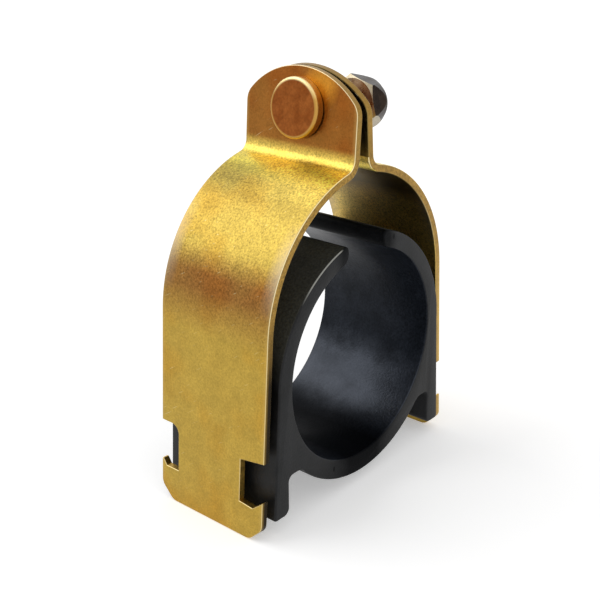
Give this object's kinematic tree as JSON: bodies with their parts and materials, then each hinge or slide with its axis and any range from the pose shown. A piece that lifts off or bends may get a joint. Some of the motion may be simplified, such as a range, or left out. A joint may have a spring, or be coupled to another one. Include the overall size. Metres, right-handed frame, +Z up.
{
  "type": "pipe clip",
  "caption": "Cushioned pipe clip: leaning steel straps with hook feet for strut channel, a slotted elastomer ring that grips the tube, and a bolt with a lock nut.",
  "frame": {"origin": "centre of the cushion's bore", "axes": "+X from the front strap to the rear strap, +Y along the pipe, +Z up from the hook feet to the bolt"},
  "size_m": [0.079, 0.0372, 0.1105],
  "materials": {
    "yellow_zinc_steel": "yellow zinc plate, softly glossy",
    "yellow_zinc_bolt": "yellow zinc plate, softly glossy",
    "black_elastomer": "satin moulded",
    "clear_zinc_steel": "clear zinc plate",
    "nylon": "satin"
  },
  "bodies": {
    "clamp": {"front_strap": "yellow_zinc_steel", "bolt": "yellow_zinc_bolt"},
    "rear_strap": {"rear_strap": "yellow_zinc_steel"},
    "cushion": {"cushion": "black_elastomer"},
    "nut_insert": {"nut_insert": "nylon"},
    "lock_nut": {"lock_nut": "clear_zinc_steel"}
  },
  "joints": [
    {"name": "rear_slide", "type": "slide", "parent": "clamp", "child": "rear_strap", "axis": [1, 0, 0], "range_m": [0, 0.006]},
    {"name": "cushion_lift", "type": "slide", "parent": "clamp", "child": "cushion", "axis": [-0.0732, 0, 0.9973], "range_m": [0, 0.011]},
    {"name": "nut_travel", "type": "slide", "parent": "clamp", "child": "nut_insert", "axis": [0.9934, 0, -0.1149], "range_m": [-0.0071, 0]},
    {"name": "nut_turn", "type": "hinge", "parent": "nut_insert", "child": "lock_nut", "pos_m": [-0.00378, 0, 0.06279], "axis": [0.9934, 0, -0.1149], "range_deg": [-1800, 0]}
  ],
  "couplings": [
    {"joint": "nut_travel", "follows": "nut_turn", "m_per_rad": 0.00022459}
  ]
}
